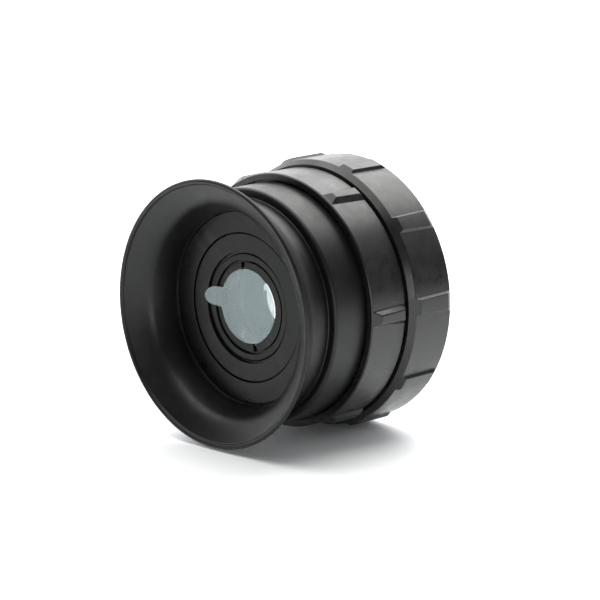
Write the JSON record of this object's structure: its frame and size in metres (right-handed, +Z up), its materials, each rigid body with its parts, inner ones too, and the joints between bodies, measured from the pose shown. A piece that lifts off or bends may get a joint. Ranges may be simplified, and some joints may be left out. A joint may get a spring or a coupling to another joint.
{
  "type": "telescope eyepiece",
  "caption": "Monocular eyepiece with a flared rubber eyecup, a lugged dioptre ring that slides the lens cell and a lugged threaded coupling ring at the back.",
  "frame": {"origin": "on the optical axis in the seat plane, where the instrument's face stops inside the coupling ring", "axes": "+Y along the optical axis from the eye to the instrument, +Z up in use, +X to the right of the eye"},
  "size_m": [0.06, 0.044, 0.0588],
  "materials": {
    "anodised_rings": "satin black anodised, fine turned grain",
    "anodised_body": "satin black anodised",
    "moulded_front": "matt black moulded polymer",
    "blackened_cell": "matt blackened against stray light",
    "eyecup_rubber": "soft matt black silicone rubber",
    "seal_rubber": "oiled nitrile rubber",
    "steel": "bright stainless",
    "slip_plastic": "white slip polymer",
    "optical_glass": "polished, blue-green multicoating",
    "film": "translucent low-tack film"
  },
  "bodies": {
    "barrel": {"barrel": "anodised_body", "eyecup": "eyecup_rubber", "eyecup_retainer": "moulded_front", "face_plate": "moulded_front", "nose_seal": "seal_rubber", "dioptre_clip": "steel", "dioptre_front_seal": "seal_rubber", "dioptre_rear_seal": "seal_rubber", "thrust_washer": "slip_plastic", "mount_flange": "anodised_body", "flange_screws": "steel", "seat_gasket": "seal_rubber", "rear_window": "optical_glass", "window_retainer": "blackened_cell", "coupling_washer": "steel"},
    "dioptre_ring": {"dioptre_ring": "anodised_rings"},
    "lens_cell": {"lens_cell": "blackened_cell", "guide_pins": "steel", "eye_lens": "optical_glass", "eye_lens_retainer": "blackened_cell", "protective_film": "film", "doublet_crown": "optical_glass", "doublet_flint": "optical_glass", "lens_spacer": "blackened_cell", "field_lens": "optical_glass", "field_lens_retainer": "blackened_cell"},
    "coupling_ring": {"coupling_ring": "anodised_rings"}
  },
  "joints": [
    {"name": "dioptre_turn", "type": "hinge", "parent": "barrel", "child": "dioptre_ring", "pos_m": [0, -0.0115, 0], "axis": [0, 1, 0], "range_deg": [-55, 55]},
    {"name": "cell_slide", "type": "slide", "parent": "barrel", "child": "lens_cell", "axis": [0, 1, 0], "range_m": [-0.0016, 0.0016]},
    {"name": "coupling_turn", "type": "hinge", "parent": "barrel", "child": "coupling_ring", "pos_m": [0, 0, 0], "axis": [0, 1, 0], "continuous": true}
  ],
  "couplings": [
    {"joint": "cell_slide", "follows": "dioptre_turn", "m_per_rad": 0.0016668}
  ]
}
